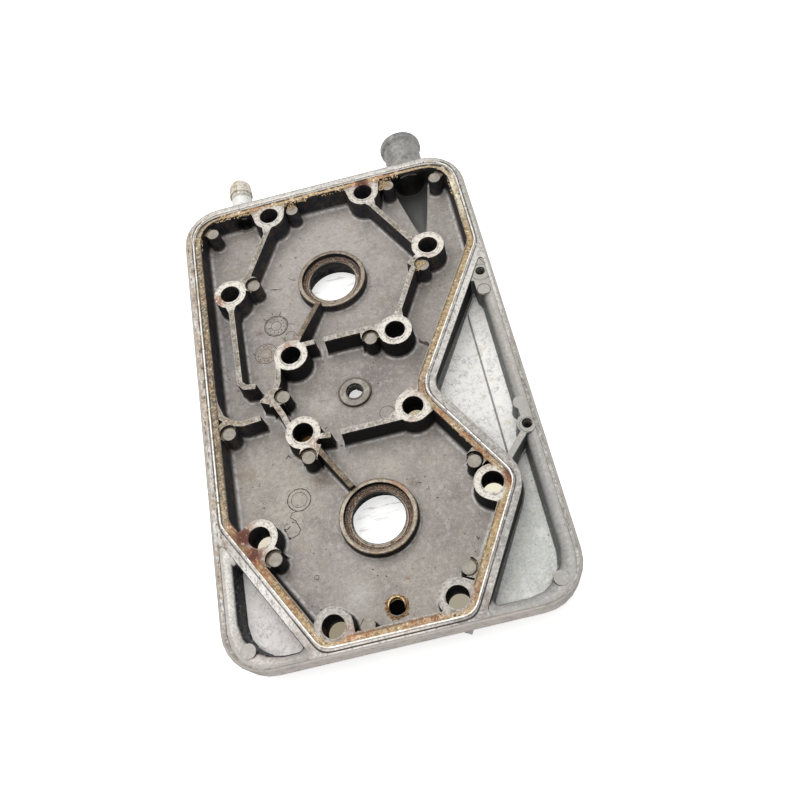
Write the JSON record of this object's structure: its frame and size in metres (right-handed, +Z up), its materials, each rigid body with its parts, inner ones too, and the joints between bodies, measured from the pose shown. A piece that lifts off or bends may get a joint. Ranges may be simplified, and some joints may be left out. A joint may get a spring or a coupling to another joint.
{
  "type": "cylinder head cover",
  "caption": "Die-cast cylinder head cover of a liquid-cooled twin two-stroke engine: flat tray with a ribbed water jacket, plug holes, bolt bosses and a hose spigot.",
  "frame": {"origin": "middle of the bounding box at its underside, which is the plane that the cover rests on", "axes": "+X across the cover towards the open pockets, +Y along it towards the hose spigot, +Z up out of the sealing face"},
  "size_m": [0.1384, 0.247, 0.022],
  "materials": {
    "cast_aluminium": "die-cast, stained and partly rusty from cooling water",
    "sleeve_brass": "tarnished",
    "nipple_steel": "plated, with a yellow film at its outer end"
  },
  "bodies": {
    "root": {"cover": "cast_aluminium", "sensor_sleeve": "sleeve_brass", "vent_nipple": "nipple_steel"}
  },
  "joints": []
}
